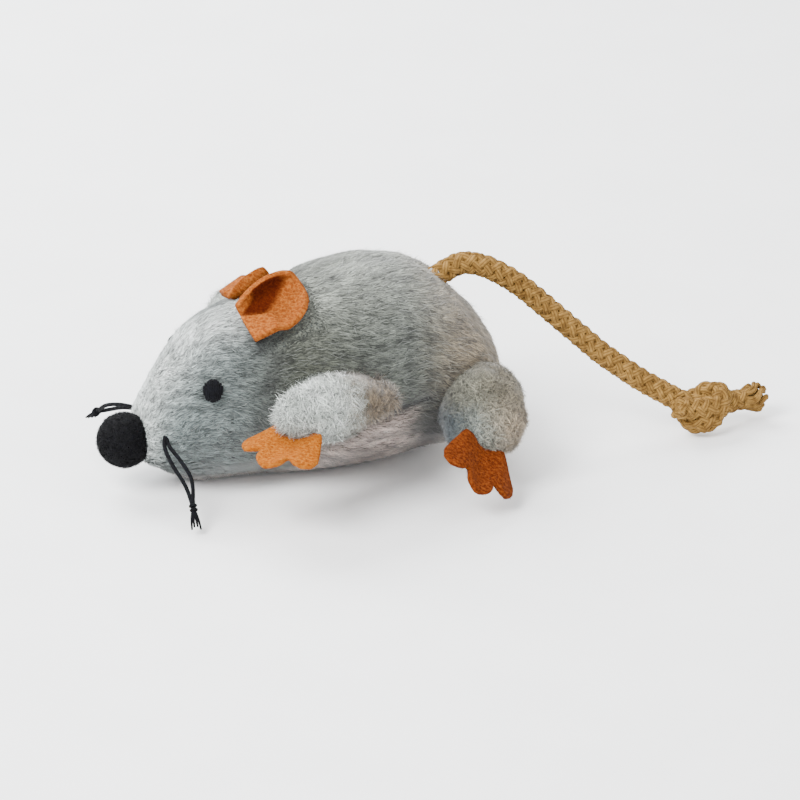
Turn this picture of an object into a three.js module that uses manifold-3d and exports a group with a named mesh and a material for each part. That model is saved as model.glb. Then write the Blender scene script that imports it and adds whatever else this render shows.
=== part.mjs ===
// A small sewn plush mouse with a rope tail. The tail is the pull of a spring motor sewn up
// inside: pulling it winds the spring, and while the spring draws the tail back in, a gear
// train spins an off-centre weight that makes the mouse tremble and creep.
// Millimetres. The nose points to -X, the tail to +X, the mouse's left side is -Y, up is +Z,
// and the belly stands on z = 0.
import * as THREE from "three";
import { mergeVertices } from "three/addons/utils/BufferGeometryUtils.js";
import Module from "manifold-3d";

const wasm = await Module();
wasm.setup();

// ---------- driving dimensions ----------

const GAP = 0.3; // left between pieces that touch on the real toy
const FAR = 200; // half size of the blocks that cut things in two

// The sewn body, nose to rump: x, lowest z, highest z, half width, how far the head turns left
const BODY_STATIONS = [
  [-37.6, 10.6, 10.6, 0.0, -2.8],
  [-36.2, 6.2, 16.4, 6.2, -2.6],
  [-32.6, 4.0, 23.2, 9.8, -2.1],
  [-28.0, 1.6, 29.6, 12.8, -1.5],
  [-21.4, -0.4, 35.0, 15.8, -0.8],
  [-10.4, -1.0, 39.4, 18.6, 0.0],
  [5.6, -1.0, 43.6, 20.4, 0.0],
  [21.6, 0.2, 44.8, 21.0, 0.0],
  [32.6, 2.0, 40.6, 19.4, 0.0],
  [39.6, 4.4, 32.4, 15.6, 0.0],
  [43.8, 8.4, 24.4, 10.4, 0.0],
  [45.8, 15.4, 15.4, 0.0, 0.0],
];
const SKIN_THICKNESS = 1.6; // plush backing with the pile pressed down
const BELLY_SEAM_Z = 11; // side panels above it, belly gusset below
const STUFFING_SPLIT_X = -2; // the head is filled before the motor goes in behind it

const NOSE_CENTRE = [-39.6, -4.2, 12.1];
const NOSE_RADIUS = 5.8;
const EYE_CENTRE = [-22.4, -15.9, 27.0];
const EYE_FACING = [-0.25, -0.82, 0.5];
const EYE_RADIUS = 2.1;

const FELT = 1.4; // thickness of the craft felt of the ears and paws
const EAR_LENGTH = 12.5;
const EAR_WIDTH = 11;
const EAR_BASE = [-13.4, -8.6, 38.6];

// Each leg is a small bag, sewn on at its root and free to flop about it
const FRONT_LEG = { root: [14.1, -25.2, 23.5], reach: 10.8, half: [13, 5.6, 6.2], yaw: 15, opening: 10.4 };
const HIND_LEG = { root: [36.6, -19.6, 15.2], reach: 6.2, half: [6.8, 7.4, 6.6], yaw: 80, opening: 4.4 };
const LEG_SKIN = 1.2;

// Each paw: the middle of its sewn edge, the way its toes point and the way its face looks
const FRONT_PAW = { edge: [-6.8, -31.4, 18.4], toes: [-0.7, -0.16, -0.66], face: [-0.24, -0.86, 0.46] };
const HIND_PAW = { edge: [36.2, -32.4, 10.6], toes: [-0.42, -0.5, -0.76], face: [0.16, -0.88, 0.44] };

// The rope tail leaves the rump, arches over and comes down to lie on the table
const TAIL_EXIT = [34.1, 0, 40.5];
const PULL_SLOPE = Math.atan2(0.436, 0.9); // the pull cord rises towards the exit
const ROPE_RADIUS = 2.5;
const ROPE_ROUTE = [
  [36.4, 0, 41.6],
  [40.2, 0, 42.8],
  [44.7, -0.5, 41.8],
  [49.2, -1.0, 39.2],
  [53.6, -1.6, 35.8],
  [58.0, -2.4, 31.6],
  [62.4, -3.4, 27.3],
  [66.7, -4.5, 23.1],
  [70.9, -5.7, 19.1],
  [75.2, -7.0, 15.7],
  [79.4, -8.3, 12.5],
  [83.7, -9.6, 9.8],
  [87.4, -10.8, 7.6],
];
const KNOT_CENTRE = [93.2, -12.5, 5.6];
const KNOT_HALF = [5.6, 5.4, 5.2];
const ROPE_END = [108.4, -8.6, 4.3];
const ROPE_END_RADIUS = 2.9;

const WHISKER_RADIUS = 0.45;
const LEFT_WHISKER = {
  strands: [
    [[-33.4, -13.2, 14.6], [-33.0, -17.4, 12.0], [-31.2, -22.6, 8.6], [-30.6, -28.0, 5.0]],
    [[-33.4, -13.2, 14.6], [-31.6, -17.4, 13.0], [-29.6, -22.8, 9.8], [-30.6, -28.0, 5.0]],
  ],
  tip: [-30.8, -31.4, 2.0],
};
const RIGHT_WHISKER = {
  strands: [
    [[-35.2, 8.0, 14.4], [-37.0, 11.0, 13.6], [-38.8, 14.4, 11.9], [-39.6, 18.6, 8.8]],
    [[-35.2, 8.0, 14.4], [-36.0, 11.6, 12.4], [-37.4, 15.2, 10.5], [-39.6, 18.6, 8.8]],
  ],
  tip: [-40.0, 21.8, 6.0],
};

// The spring motor: three shafts in a row across the mouse, from the drum forwards
const MODULE = 0.6;
const WHEEL_TEETH = 24;
const PINION_TEETH = 8;
const SHAFT_SPACING = (MODULE * (WHEEL_TEETH + PINION_TEETH)) / 2;
const DRUM_AXIS = [17.6, 27.5]; // x, z
const TRAIN_SLOPE = Math.atan2(0.312, 0.95); // the row of shafts drops towards the nose
const SHAFT_RADIUS = 0.6;
const BORE_RADIUS = SHAFT_RADIUS + GAP;
const CASE_INNER_RADIUS = 8.8;
const CASE_WALL = 1.4;
const CASE_HALF_INSIDE = 7.5; // inside half width across the mouse
const DRUM_RADIUS = 4.0;
const CORD_RADIUS = 0.5;
const CORD_HOLE_RADIUS = 1.2;
const LUG_SPREAD = THREE.MathUtils.degToRad(50); // the case screws stand this far off the row of shafts

// ---------- colours ----------

const paint = (color, roughness, metalness = 0) =>
  new THREE.MeshStandardMaterial({ color, roughness, metalness });
const greyFur = () => paint(0x8f9694, 0.95);
const paleFur = () => paint(0xc9c8c2, 0.95);
const orangeFelt = () => paint(0xd2853f, 0.95);
const rustFelt = () => paint(0xb5622a, 0.95);
const earFelt = () => paint(0xd79a66, 0.95);
const blackWool = () => paint(0x15161c, 0.95);
const cotton = () => paint(0xb8945c, 0.9);
const wadding = () => paint(0xf1efe8, 1);
const casePlastic = () => paint(0x2f6db0, 0.45);
const gearPlastic = () => paint(0xece6d2, 0.5);
const steel = () => paint(0xa8abae, 0.35, 1);

// ---------- solids ----------

const vec = (p) => new THREE.Vector3(...p);

function solid(geometry) {
  const bare = geometry.clone();
  bare.deleteAttribute("normal");
  bare.deleteAttribute("uv");
  const merged = mergeVertices(bare, 1e-3);
  return new wasm.Manifold(
    new wasm.Mesh({
      numProp: 3,
      vertProperties: merged.attributes.position.array,
      triVerts: new Uint32Array(merged.index.array),
    }),
  );
}

function surface(made) {
  const mesh = made.getMesh();
  const geometry = new THREE.BufferGeometry();
  geometry.setAttribute("position", new THREE.BufferAttribute(new Float32Array(mesh.vertProperties), 3));
  geometry.setIndex(new THREE.BufferAttribute(new Uint32Array(mesh.triVerts), 1));
  geometry.computeVertexNormals();
  return geometry;
}

const join = (first, ...others) => others.reduce((sum, other) => sum.add(other), first);
const cut = (first, ...others) => others.reduce((rest, other) => rest.subtract(other), first);

const block = (low, high) => {
  const size = vec(high).sub(vec(low));
  const middle = vec(low).add(vec(high)).multiplyScalar(0.5);
  return solid(new THREE.BoxGeometry(size.x, size.y, size.z).translate(...middle.toArray()));
};

// A cylinder along Y, the way the motor's shafts lie
const acrossRod = (radius, y0, y1, sides, x = 0, z = 0) =>
  new THREE.CylinderGeometry(radius, radius, y1 - y0, sides).translate(x, (y0 + y1) / 2, z);

// A straight rod from one point to another
function rodBetween(from, to, radius, endRadius, sides) {
  const along = vec(to).sub(vec(from));
  const up = new THREE.Vector3(0, 1, 0);
  const turn = new THREE.Quaternion().setFromUnitVectors(up, along.clone().normalize());
  const middle = vec(from).addScaledVector(along, 0.5);
  return new THREE.CylinderGeometry(endRadius, radius, along.length(), sides)
    .applyQuaternion(turn)
    .translate(...middle.toArray());
}

function roundSection(radius, sides) {
  const shape = new THREE.Shape();
  for (let i = 0; i < sides; i++) {
    const angle = (i / sides) * 2 * Math.PI;
    const point = [radius * Math.cos(angle), radius * Math.sin(angle)];
    if (i) shape.lineTo(...point);
    else shape.moveTo(...point);
  }
  shape.closePath();
  return shape;
}

// A round tube along a smooth curve through points
const tube = (points, radius, sides, steps) =>
  new THREE.ExtrudeGeometry(roundSection(radius, sides), {
    steps,
    extrudePath: new THREE.CatmullRomCurve3(points.map(vec)),
  });

// ---------- the scene graph ----------

const mouse = new THREE.Group();

function add(parent, name, geometry, material) {
  const mesh = new THREE.Mesh(geometry, material);
  mesh.name = name;
  parent.add(mesh);
  return mesh;
}

// The right side of the mouse is the left side mirrored
const sides = { left: new THREE.Group(), right: new THREE.Group() };
sides.right.scale.y = -1;
mouse.add(sides.left, sides.right);

// ---------- the sewn body ----------

// The body's outside, or a surface lying a thickness inside it
function bodyShape(inset, around, along) {
  const column = (a, b, c) => BODY_STATIONS.map((s) => new THREE.Vector3(s[a], s[b], s[c]));
  const heights = new THREE.CatmullRomCurve3(column(0, 1, 2), false, "catmullrom", 0.5);
  const widths = new THREE.CatmullRomCurve3(column(0, 3, 4), false, "catmullrom", 0.5);
  const halfLength = (BODY_STATIONS.at(-1)[0] - BODY_STATIONS[0][0]) / 2;
  const middleX = (BODY_STATIONS.at(-1)[0] + BODY_STATIONS[0][0]) / 2;
  const geometry = new THREE.SphereGeometry(1, around, along).rotateZ(Math.PI / 2);
  const spots = geometry.attributes.position;
  for (let i = 0; i < spots.count; i++) {
    const spot = new THREE.Vector3().fromBufferAttribute(spots, i);
    const t = Math.acos(THREE.MathUtils.clamp(-spot.x, -1, 1)) / Math.PI;
    const [x, low, high] = heights.getPoint(t).toArray();
    const [, width, turn] = widths.getPoint(t).toArray();
    const radial = Math.hypot(spot.y, spot.z) || 1;
    const halfWidth = Math.max(width - inset, 0);
    const halfHeight = Math.max((high - low) / 2 - inset, 0);
    spots.setXYZ(
      i,
      middleX + (x - middleX) * (1 - inset / halfLength),
      turn + (halfWidth * spot.y) / radial,
      (low + high) / 2 + (halfHeight * spot.z) / radial,
    );
  }
  return solid(geometry);
}

const motorRow = new THREE.Vector2(-Math.cos(TRAIN_SLOPE), -Math.sin(TRAIN_SLOPE));
const shaftPlace = (n) => [
  DRUM_AXIS[0] + n * SHAFT_SPACING * motorRow.x,
  DRUM_AXIS[1] + n * SHAFT_SPACING * motorRow.y,
];

// The motor case's outline, grown or shrunk: a bar with round ends about the first and last shaft
function caseBar(radius, y0, y1, sides) {
  const [x0, z0] = shaftPlace(0);
  const [x2, z2] = shaftPlace(2);
  const length = Math.hypot(x2 - x0, z2 - z0);
  const bar = new THREE.BoxGeometry(length, y1 - y0, 2 * radius)
    .rotateY(-TRAIN_SLOPE)
    .translate((x0 + x2) / 2, (y0 + y1) / 2, (z0 + z2) / 2);
  const ends = [shaftPlace(0), shaftPlace(2)].map(([x, z]) => {
    const end = new THREE.CylinderGeometry(radius, radius, y1 - y0, sides);
    end.rotateY(Math.PI / 2 - TRAIN_SLOPE).translate(x, (y0 + y1) / 2, z);
    return solid(end);
  });
  return join(solid(bar), ...ends);
}

// The line of the pull cord, from where it leaves the drum to the tail's root
const pullWay = [Math.cos(PULL_SLOPE), 0, Math.sin(PULL_SLOPE)];
const cordPoint = (t) => [
  DRUM_AXIS[0] - (DRUM_RADIUS + CORD_RADIUS) * pullWay[2] + t * pullWay[0],
  0,
  DRUM_AXIS[1] + (DRUM_RADIUS + CORD_RADIUS) * pullWay[0] + t * pullWay[2],
];
const exitAlong = (TAIL_EXIT[0] - cordPoint(0)[0]) / pullWay[0];

// A straight rod along that line, between two distances from the drum
const cordRod = (from, to, radius, sides) =>
  solid(rodBetween(cordPoint(from), cordPoint(to), radius, radius, sides));

const EYELET = { radius: 2.2, flange: 2.9, depth: 6.6, proud: 0.8, flangeThickness: 0.8 };
const eyeletRoom = cordRod(exitAlong - EYELET.depth - 1, exitAlong + 4, EYELET.radius + GAP, 12);

function buildBody() {
  const nose = solid(new THREE.SphereGeometry(NOSE_RADIUS + 2 * GAP, 14, 10).translate(...NOSE_CENTRE));
  const table = block([-FAR, -FAR, -FAR], [FAR, FAR, 0]);
  const shell = cut(bodyShape(0, 24, 18), bodyShape(SKIN_THICKNESS, 20, 16), nose, table, eyeletRoom);
  const seam = GAP / 2;
  const leftHalf = block([-FAR, -FAR, BELLY_SEAM_Z + seam], [FAR, -seam, FAR]);
  const rightHalf = block([-FAR, seam, BELLY_SEAM_Z + seam], [FAR, FAR, FAR]);
  const lower = block([-FAR, -FAR, -FAR], [FAR, FAR, BELLY_SEAM_Z - seam]);
  add(mouse, "left_side_panel", surface(shell.intersect(leftHalf)), greyFur());
  add(mouse, "right_side_panel", surface(shell.intersect(rightHalf)), greyFur());
  add(mouse, "belly_gusset", surface(shell.intersect(lower)), paleFur());

  const pocketHalf = CASE_HALF_INSIDE + CASE_WALL + 1;
  const pocket = caseBar(CASE_INNER_RADIUS + CASE_WALL + 4.6, -pocketHalf, pocketHalf, 14);
  const cordWay = cordRod(2, exitAlong + 6, 3.8, 10);
  const filling = cut(bodyShape(SKIN_THICKNESS + GAP, 20, 16), nose, table, pocket, cordWay);
  const front = block([-FAR, -FAR, -FAR], [STUFFING_SPLIT_X - seam, FAR, FAR]);
  const back = block([STUFFING_SPLIT_X + seam, -FAR, -FAR], [FAR, FAR, FAR]);
  add(mouse, "head_stuffing", surface(filling.intersect(front)), wadding());
  add(mouse, "body_stuffing", surface(filling.intersect(back)), wadding());

  const from = exitAlong - EYELET.depth;
  const eyelet = cut(
    join(
      cordRod(from, exitAlong + EYELET.proud, EYELET.radius, 12),
      cordRod(from, from + EYELET.flangeThickness, EYELET.flange, 12),
    ),
    cordRod(exitAlong - 9, exitAlong + 6, CORD_RADIUS + GAP, 8),
  );
  add(mouse, "tail_eyelet", surface(eyelet), casePlastic());
}

// ---------- face ----------

function whisker({ strands, tip }) {
  const knot = strands[0].at(-1);
  return surface(
    join(
      solid(new THREE.SphereGeometry(1, 8, 6).translate(...knot)),
      solid(rodBetween(knot, tip, 0.6, 1.5, 8)),
      ...strands.map((points) => solid(tube(points, WHISKER_RADIUS, 8, 5))),
    ),
  );
}

function buildFace() {
  const pompom = new THREE.SphereGeometry(NOSE_RADIUS, 14, 10).translate(...NOSE_CENTRE);
  add(mouse, "nose_pompom", pompom, blackWool());
  add(mouse, "left_whisker", whisker(LEFT_WHISKER), blackWool());
  add(mouse, "right_whisker", whisker(RIGHT_WHISKER), blackWool());
  for (const [side, group] of Object.entries(sides)) {
    const stitched = new THREE.SphereGeometry(EYE_RADIUS, 10, 6).scale(1, 0.5, 1);
    const eye = add(group, `${side}_eye`, stitched, blackWool());
    eye.quaternion.setFromUnitVectors(new THREE.Vector3(0, 1, 0), vec(EYE_FACING).normalize());
    eye.position.set(...EYE_CENTRE);
  }
}

// An ear is a felt disc with a straight sewn edge, folded into a scoop that is swept back
function earShape() {
  const fold = new THREE.Shape();
  const deep = 4.2;
  fold.absellipse(0, deep, EAR_WIDTH / 2, deep, Math.PI, 2 * Math.PI);
  fold.absellipse(0, deep, EAR_WIDTH / 2 - FELT, deep - FELT, 2 * Math.PI, Math.PI, true);
  const plain = { bevelEnabled: false, curveSegments: 10 };
  const trough = new THREE.ExtrudeGeometry(fold, { ...plain, depth: EAR_LENGTH });
  const outline = new THREE.Shape();
  const half = EAR_WIDTH / 2;
  outline.moveTo(-half, 0);
  outline.lineTo(-half, EAR_LENGTH - half);
  outline.absarc(0, EAR_LENGTH - half, half, Math.PI, 0, true);
  outline.lineTo(half, 0);
  const stamp = new THREE.ExtrudeGeometry(outline, { ...plain, depth: 4 * deep });
  stamp.rotateX(Math.PI / 2).translate(0, 2 * deep, 0);
  return surface(solid(trough).intersect(solid(stamp)));
}

function buildEars() {
  for (const [side, group] of Object.entries(sides)) {
    const ear = add(group, `${side}_ear`, earShape(), earFelt());
    // the scoop's length points back and up, its hollow faces up and outwards
    const length = new THREE.Vector3(0.9, -0.06, 0.43).normalize();
    const hollow = new THREE.Vector3(-0.3, -0.42, 0.86).projectOnPlane(length).normalize();
    const across = new THREE.Vector3().crossVectors(hollow, length);
    ear.quaternion.setFromRotationMatrix(new THREE.Matrix4().makeBasis(across, hollow, length));
    ear.position.set(...EAR_BASE);
  }
}

// ---------- legs and paws ----------

// A leg's bag in its own frame: the root at the origin, the leg reaching along -X
function legBag({ reach, half, opening }, inset) {
  const [a, b, c] = half.map((h) => h - inset);
  const ball = new THREE.SphereGeometry(1, 12, 9).rotateZ(Math.PI / 2);
  const bag = solid(ball.scale(a, b, c).translate(-reach, 0, 0));
  return bag.subtract(block([opening - reach, -FAR, -FAR], [FAR, FAR, FAR]));
}

// A paw's outline: a sewn edge and three round toes
function pawShape() {
  const outline = new THREE.Shape();
  const edge = 4.4;
  const toes = [
    [-5.6, 7.0, 2.5],
    [0, 8.6, 2.9],
    [5.6, 7.0, 2.5],
  ];
  outline.moveTo(-edge, 0);
  for (const [x, y, radius] of toes) {
    const lean = -x * 0.1;
    outline.absarc(x, y, radius, Math.PI + lean * 0.6, lean * 0.6, true);
  }
  outline.lineTo(edge, 0);
  return new THREE.ExtrudeGeometry(outline, { depth: FELT, bevelEnabled: false, curveSegments: 7 });
}

function placePaw(paw, { edge, toes, face }) {
  const along = vec(toes).normalize();
  const out = vec(face).projectOnPlane(along).normalize();
  const across = new THREE.Vector3().crossVectors(along, out);
  paw.quaternion.setFromRotationMatrix(new THREE.Matrix4().makeBasis(across, along, out));
  paw.position.set(...edge);
}

function buildLegs() {
  const legs = {
    front: [FRONT_LEG, FRONT_PAW, paleFur, orangeFelt],
    hind: [HIND_LEG, HIND_PAW, greyFur, rustFelt],
  };
  for (const [end, [leg, pawPlace, fur, felt]] of Object.entries(legs)) {
    const bag = surface(legBag(leg, 0).subtract(legBag({ ...leg, opening: FAR }, LEG_SKIN)));
    const filling = surface(legBag({ ...leg, opening: leg.opening - LEG_SKIN }, LEG_SKIN + GAP));
    for (const [side, group] of Object.entries(sides)) {
      const limb = new THREE.Group();
      limb.position.set(...leg.root);
      limb.rotation.z = THREE.MathUtils.degToRad(leg.yaw);
      group.add(limb);
      add(limb, `${side}_${end}_leg`, bag, fur());
      add(limb, `${side}_${end}_leg_stuffing`, filling, wadding());
      placePaw(add(group, `${side}_${end}_paw`, pawShape(), felt()), pawPlace);
    }
  }
}

// ---------- spring motor ----------

// A spur wheel's outline with straight-flanked teeth, thinned so that meshed teeth run free
function toothedShape(teeth, boreRadius, turn) {
  const shape = new THREE.Shape();
  const pitchRadius = (MODULE * teeth) / 2;
  const tip = pitchRadius + 0.72 * MODULE;
  const root = pitchRadius - 1.15 * MODULE;
  const pitch = (2 * Math.PI) / teeth;
  const corners = [
    [root, -0.26],
    [tip, -0.09],
    [tip, 0.09],
    [root, 0.26],
  ];
  for (let n = 0; n < teeth; n++) {
    for (const [radius, share] of corners) {
      const angle = turn + (n + share) * pitch;
      const point = [radius * Math.cos(angle), radius * Math.sin(angle)];
      if (n || share !== corners[0][1]) shape.lineTo(...point);
      else shape.moveTo(...point);
    }
  }
  shape.closePath();
  shape.holes.push(new THREE.Path().absarc(0, 0, boreRadius, 0, 2 * Math.PI, true));
  return shape;
}

// Extrudes a shape drawn in x and z to run across the mouse from y0 to y1
const acrossPlate = (shape, y0, y1) =>
  new THREE.ExtrudeGeometry(shape, { depth: y1 - y0, bevelEnabled: false, curveSegments: 8 })
    .rotateX(Math.PI / 2)
    .translate(0, y1, 0);

const wheelSolid = (teeth, y0, y1, turn) =>
  solid(acrossPlate(toothedShape(teeth, BORE_RADIUS, turn), y0, y1));

// A plain ring about a shaft
function ring(inner, outer, y0, y1, sides = 16) {
  return cut(solid(acrossRod(outer, y0, y1, sides)), solid(acrossRod(inner, y0 - 1, y1 + 1, sides)));
}

function buildMotor() {
  const motor = new THREE.Group();
  mouse.add(motor);
  const shafts = [0, 1, 2].map((n) => {
    const group = new THREE.Group();
    const [x, z] = shaftPlace(n);
    group.position.set(x, 0, z);
    motor.add(group);
    return group;
  });
  const [drumPlace, idlerPlace, weightPlace] = shafts;

  // Layers across the mouse: wheel and last pinion, drum wheel and first pinion, drum, spring
  const layer = {
    outer: [-7.1, -5.3],
    inner: [-4.7, -2.9],
    drum: [-2.9, 1.7],
    flange: [1.7, 2.5],
    spring: [3.0, 6.6],
  };

  // The row's direction as an angle in the wheels' own plane, where +z is drawn as +y
  const rowAngle = Math.atan2(motorRow.y, motorRow.x);
  const lap = 0.2; // how far the turned steps of one moulding run into each other
  const gapFacing = (teeth, angle) => angle + Math.PI / teeth;

  const drum = join(
    wheelSolid(WHEEL_TEETH, ...layer.inner, rowAngle),
    ring(BORE_RADIUS, DRUM_RADIUS, layer.drum[0] - lap, layer.drum[1] + lap),
    ring(BORE_RADIUS, 6.2, ...layer.flange),
    ring(BORE_RADIUS, 1.7, layer.flange[1] - lap, layer.spring[1], 12),
  );
  add(drumPlace, "pull_drum", surface(drum), gearPlastic());
  const [windingStart, windingEnd] = [layer.drum[0] + GAP, layer.drum[1] - GAP];
  const winding = ring(DRUM_RADIUS + GAP / 2, DRUM_RADIUS + 2 * CORD_RADIUS, windingStart, windingEnd);
  add(drumPlace, "cord_winding", surface(winding), cotton());
  add(drumPlace, "mainspring", acrossPlate(spiralShape(2.3, 6.6, 4, 0.35), ...layer.spring), steel());

  const pinionTurn = gapFacing(PINION_TEETH, rowAngle + Math.PI);
  const idler = join(
    wheelSolid(WHEEL_TEETH, ...layer.outer, rowAngle),
    wheelSolid(PINION_TEETH, layer.outer[1] - lap, layer.inner[1] + 0.3, pinionTurn),
  );
  add(idlerPlace, "idler_gear", surface(idler), gearPlastic());

  const weightPinion = join(
    wheelSolid(PINION_TEETH, layer.outer[0] - 0.1, layer.outer[1] + 0.4, pinionTurn),
    ring(BORE_RADIUS, 1.9, layer.outer[1] + 0.4, 5.6, 14),
  );
  add(weightPlace, "weight_pinion", surface(weightPinion), gearPlastic());
  const half = new THREE.Shape().absarc(0, 0, 7.4, Math.PI, 2 * Math.PI, false);
  const weight = cut(solid(acrossPlate(half, -2.2, 5.2)), solid(acrossRod(1.9 + GAP, -9, 9, 14)));
  add(weightPlace, "off_centre_weight", surface(weight), steel());

  const shaftHalf = CASE_HALF_INSIDE + 0.6;
  ["drum_shaft", "idler_shaft", "weight_shaft"].forEach((name, n) => {
    add(shafts[n], name, acrossRod(SHAFT_RADIUS, -shaftHalf, shaftHalf, 12), steel());
  });
  buildCase(motor);
}

// A flat spiral strip from one radius out to another
function spiralShape(inner, outer, turns, thickness) {
  const shape = new THREE.Shape();
  const steps = 14 * turns;
  const edge = (i, offset) => {
    const angle = (i / steps) * turns * 2 * Math.PI;
    const radius = inner + ((outer - inner) * i) / steps + offset;
    return [radius * Math.cos(angle), radius * Math.sin(angle)];
  };
  shape.moveTo(...edge(0, 0));
  for (let i = 1; i <= steps; i++) shape.lineTo(...edge(i, 0));
  for (let i = steps; i >= 0; i--) shape.lineTo(...edge(i, thickness));
  shape.closePath();
  return shape;
}

function buildCase(motor) {
  const outer = CASE_INNER_RADIUS + CASE_WALL;
  const outside = CASE_HALF_INSIDE + CASE_WALL;
  const lugOffset = outer + 1.9;
  const screwRadius = 0.7;
  const lugs = [];
  for (const [shaft, facing] of [[0, Math.PI], [2, 0]]) {
    for (const side of [-1, 1]) {
      const angle = motorRow.angle() + facing + side * LUG_SPREAD;
      const [x, z] = shaftPlace(shaft);
      lugs.push([x + lugOffset * Math.cos(angle), z + lugOffset * Math.sin(angle)]);
    }
  }
  const halves = { left: [-outside, -GAP / 2], right: [GAP / 2, outside] };
  for (const [name, [y0, y1]] of Object.entries(halves)) {
    const lugRange = name === "left" ? [-3.4, y1] : [y0, 3.4];
    const shell = cut(
      join(
        caseBar(outer, y0, y1, 20),
        ...lugs.map(([x, z]) => solid(acrossRod(2.4, ...lugRange, 10, x, z))),
      ),
      caseBar(CASE_INNER_RADIUS, -CASE_HALF_INSIDE, CASE_HALF_INSIDE, 20),
      ...lugs.map(([x, z]) => solid(acrossRod(screwRadius + GAP, -9, 9, 8, x, z))),
      ...[0, 1, 2].map((n) => {
        const [x, z] = shaftPlace(n);
        return solid(acrossRod(BORE_RADIUS, -CASE_HALF_INSIDE - 0.9, CASE_HALF_INSIDE + 0.9, 12, x, z));
      }),
      cordRod(4, 16, CORD_HOLE_RADIUS, 8),
    );
    add(motor, `motor_case_${name}`, surface(shell), casePlastic());
  }
  lugs.forEach(([x, z], i) => {
    const screw = join(
      solid(acrossRod(screwRadius, -4, 3.2, 8, x, z)),
      solid(acrossRod(1.5, -4.7, -3.4 - GAP, 10, x, z)),
    );
    add(motor, `case_screw_${i + 1}`, surface(screw), steel());
  });
}

// ---------- tail ----------

function buildTail() {
  const cordStart = cordPoint(3.8);
  const ropeStart = vec(ROPE_ROUTE[0]).sub(vec(pullWay).multiplyScalar(GAP)).toArray();
  add(mouse, "pull_cord", rodBetween(cordStart, ropeStart, CORD_RADIUS, CORD_RADIUS, 8), cotton());
  add(mouse, "tail_rope", tube(ROPE_ROUTE, ROPE_RADIUS, 8, 24), cotton());
  const knot = new THREE.SphereGeometry(1, 12, 9).scale(...KNOT_HALF);
  add(mouse, "tail_knot", knot, cotton()).position.set(...KNOT_CENTRE);
  const away = vec(ROPE_END).sub(vec(KNOT_CENTRE)).normalize();
  const endStart = vec(KNOT_CENTRE).addScaledVector(away, KNOT_HALF[0] + GAP + 0.3).toArray();
  add(mouse, "tail_end", rodBetween(endStart, ROPE_END, 1.9, ROPE_END_RADIUS, 12), cotton());
}

buildBody();
buildFace();
buildEars();
buildLegs();
buildMotor();
buildTail();

export default mouse;
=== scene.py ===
"""The looks of the pull-tail plush mouse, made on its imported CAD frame.

Metres, in the frame of the CAD model: the nose points to -X, the tail to +X, the mouse's left side is
-Y and up is +Z. The camera sees the left side, which is called the near side here.
"""
import math

import bmesh
import bpy
import numpy as np
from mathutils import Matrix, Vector
from mathutils.kdtree import KDTree


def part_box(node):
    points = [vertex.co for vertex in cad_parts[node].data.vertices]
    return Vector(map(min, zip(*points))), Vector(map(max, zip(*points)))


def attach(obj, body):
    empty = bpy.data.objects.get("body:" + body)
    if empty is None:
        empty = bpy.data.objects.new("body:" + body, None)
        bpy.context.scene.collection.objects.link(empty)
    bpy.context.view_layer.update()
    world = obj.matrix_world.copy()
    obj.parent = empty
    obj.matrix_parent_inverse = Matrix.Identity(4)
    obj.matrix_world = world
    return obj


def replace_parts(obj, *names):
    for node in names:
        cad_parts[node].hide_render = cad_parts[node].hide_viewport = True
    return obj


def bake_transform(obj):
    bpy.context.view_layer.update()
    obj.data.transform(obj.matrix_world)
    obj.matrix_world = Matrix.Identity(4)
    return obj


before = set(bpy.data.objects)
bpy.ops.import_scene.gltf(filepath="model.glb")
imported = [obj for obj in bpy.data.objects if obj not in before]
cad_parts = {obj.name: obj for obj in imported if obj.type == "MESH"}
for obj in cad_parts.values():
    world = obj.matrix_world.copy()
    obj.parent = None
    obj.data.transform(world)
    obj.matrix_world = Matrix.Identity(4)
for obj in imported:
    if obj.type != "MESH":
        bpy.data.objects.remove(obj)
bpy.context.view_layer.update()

MM = 0.001
rng = np.random.default_rng(7)


def mm(*values):
    """Millimetres to metres, as an array."""
    return np.array(values, float) * MM


# ---- camera

LOOK_AT = mm(25.5, -0.4, 11.3)
AZIMUTH, ELEVATION = math.radians(-17), math.radians(25)
VIEW_WIDTH = 178.6 * MM
LENS, SENSOR = 600.0, 36.0

camera = bpy.data.objects.new("camera", bpy.data.cameras.new("camera"))
bpy.context.collection.objects.link(camera)
camera.data.lens, camera.data.sensor_width = LENS, SENSOR
back = Vector((
    math.sin(AZIMUTH) * math.cos(ELEVATION),
    -math.cos(AZIMUTH) * math.cos(ELEVATION),
    math.sin(ELEVATION),
))
camera.location = Vector(LOOK_AT) + back * (VIEW_WIDTH * LENS / SENSOR)
camera.rotation_mode = "QUATERNION"
camera.rotation_quaternion = (-back).to_track_quat("-Z", "Y")
camera.data.clip_start, camera.data.clip_end = 0.01, 20
bpy.context.scene.camera = camera


# ---- materials

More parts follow.
